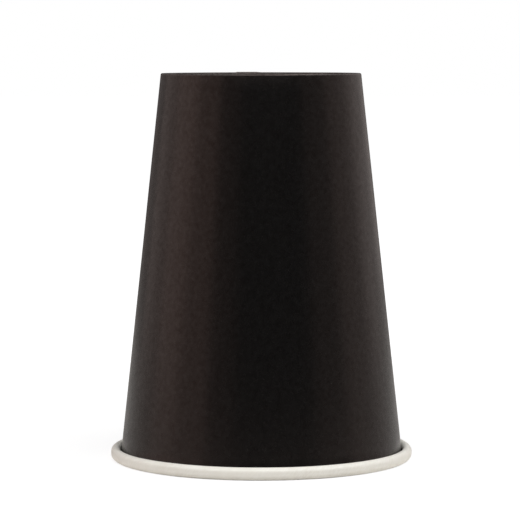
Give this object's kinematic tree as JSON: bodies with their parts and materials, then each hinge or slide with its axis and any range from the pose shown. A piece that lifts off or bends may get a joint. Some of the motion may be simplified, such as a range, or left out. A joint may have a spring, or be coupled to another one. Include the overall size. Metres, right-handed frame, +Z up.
{
  "type": "paper cup",
  "caption": "Plain dark paper cup with a rolled pale rim, a lapped side seam and a recessed base, standing mouth down.",
  "frame": {"origin": "centre of the circle on which the rolled rim rests, on the resting plane", "axes": "+Z up along the cup's axis from the rim to the base edge, as the cup stands mouth down; the side seam lies near +Y"},
  "size_m": [0.09, 0.09, 0.115],
  "materials": {
    "printed_board": "satin warm black print outside, white coated board inside and on the rolled rim",
    "white_board": "white coated board, satin"
  },
  "bodies": {
    "root": {"sidewall": "printed_board", "bottom_disc": "white_board"}
  },
  "joints": []
}
